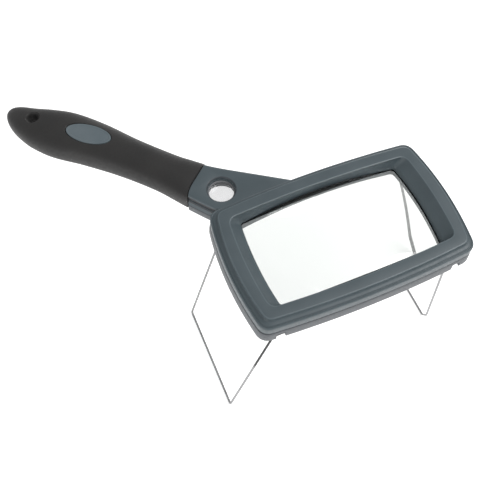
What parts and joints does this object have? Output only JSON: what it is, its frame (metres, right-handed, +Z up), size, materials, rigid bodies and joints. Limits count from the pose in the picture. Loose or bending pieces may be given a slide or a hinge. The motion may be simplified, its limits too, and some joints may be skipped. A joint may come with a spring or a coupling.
{
  "type": "magnifying glass",
  "caption": "Rectangular hand and stand magnifier with a soft corner handle, a round spot lens and wire legs that fold flat under the frame.",
  "frame": {"origin": "on the table, below the centre of the main lens", "axes": "+X along the lens frame's long side, away from the handle; +Y toward the side that the handle leans to; +Z up, from the feet through the lens"},
  "size_m": [0.2051, 0.1831, 0.1167],
  "materials": {
    "front_shell": "satin slate-blue moulded plastic",
    "rear_shell": "satin slate-grey moulded plastic",
    "lens": "clear polished acrylic, transparent",
    "gasket": "black foam",
    "inner_plastic": "black moulded plastic",
    "grip": "soft-touch black rubber",
    "badge": "satin blue-grey plastic, blank",
    "wire": "bright nickel-plated spring wire",
    "screws": "zinc-plated steel"
  },
  "bodies": {
    "frame": {"front_shell": "front_shell", "rear_shell": "rear_shell", "main_lens": "lens", "lens_gasket": "gasket", "spot_lens": "lens", "spot_lens_ring": "inner_plastic", "handle_core_top": "inner_plastic", "handle_core_bottom": "inner_plastic", "rubber_grip": "grip", "badge": "badge", "pivot_cap_left_near": "inner_plastic", "pivot_cap_left_far": "inner_plastic", "pivot_cap_right_near": "inner_plastic", "pivot_cap_right_far": "inner_plastic", "frame_screws": "screws", "neck_screws": "screws"},
    "left_leg": {"left_leg": "wire"},
    "right_leg": {"right_leg": "wire"}
  },
  "joints": [
    {"name": "left_leg_fold", "type": "hinge", "parent": "frame", "child": "left_leg", "pos_m": [-0.0495, 0, 0.10265], "axis": [0, 1, 0], "range_deg": [-103.9, 0]},
    {"name": "right_leg_fold", "type": "hinge", "parent": "frame", "child": "right_leg", "pos_m": [0.0495, 0, 0.10265], "axis": [0, 1, 0], "range_deg": [0, 98.2]}
  ]
}
